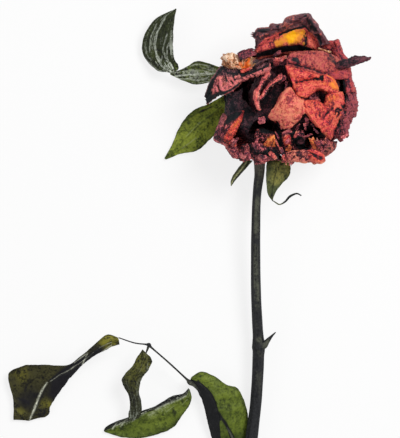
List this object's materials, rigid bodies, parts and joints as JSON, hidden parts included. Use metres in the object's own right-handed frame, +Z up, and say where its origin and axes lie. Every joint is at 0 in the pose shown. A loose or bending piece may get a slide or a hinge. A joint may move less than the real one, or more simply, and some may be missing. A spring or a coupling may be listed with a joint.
{
  "type": "dried wilted rose on a cut stem",
  "caption": "Wilted rose lying on its side: crumpled dried petals in a nested bloom, a bent cut stem, withered sepals and curled compound leaves.",
  "frame": {"origin": "on the table, under the middle of the rose's box", "axes": "+Y along the stem towards the bloom, +Z up off the table, so +X is to the right seen from above"},
  "size_m": [0.1622, 0.2306, 0.0559],
  "materials": {
    "petal_coral": "matte",
    "petal_red": "matte",
    "petal_burgundy": "matte",
    "petal_black": "matte",
    "leaf_green": "matte",
    "leaf_olive": "matte",
    "sepal_green": "matte",
    "stem_bark": "matte"
  },
  "bodies": {
    "root": {"hood_petal": "petal_burgundy", "right_rim_petal": "petal_burgundy", "front_right_scrap_petal": "petal_coral", "front_left_scrap_petal": "petal_red", "left_dark_petal": "petal_black", "left_flap_petal": "petal_coral", "back_right_petal": "petal_red", "right_petal": "petal_red", "triangle_petal": "petal_coral", "front_curl_petal": "petal_coral", "lower_left_petal": "petal_burgundy", "back_left_petal": "petal_burgundy", "back_petal": "petal_burgundy", "right_inner_petal": "petal_red", "arch_petal": "petal_coral", "pear_petal": "petal_coral", "left_inner_petal": "petal_black", "left_back_petal": "petal_burgundy", "band_petal": "petal_red", "far_petal": "petal_red", "left_fold_petal": "petal_black", "heart_right_petal": "petal_red", "heart_back_petal": "petal_burgundy", "dark_fold_petal": "petal_black", "bud_right_petal": "petal_red", "bud_left_petal": "petal_burgundy", "spike_petal": "petal_burgundy", "sepal_right": "sepal_green", "sepal_left": "sepal_green", "sepal_under_right": "sepal_green", "sepal_under_middle": "sepal_green", "sepal_under_left": "sepal_green", "upper_terminal_leaflet": "leaf_green", "upper_side_leaflet": "leaf_green", "lower_terminal_leaflet": "leaf_olive", "lower_hanging_leaflet": "leaf_olive", "lower_left_leaflet": "leaf_green", "lower_right_leaflet": "leaf_green", "stem": "stem_bark", "stem_thorn": "stem_bark", "upper_leaf_stalk": "stem_bark", "lower_leaf_stalk": "stem_bark", "hip": "sepal_green"}
  },
  "joints": []
}
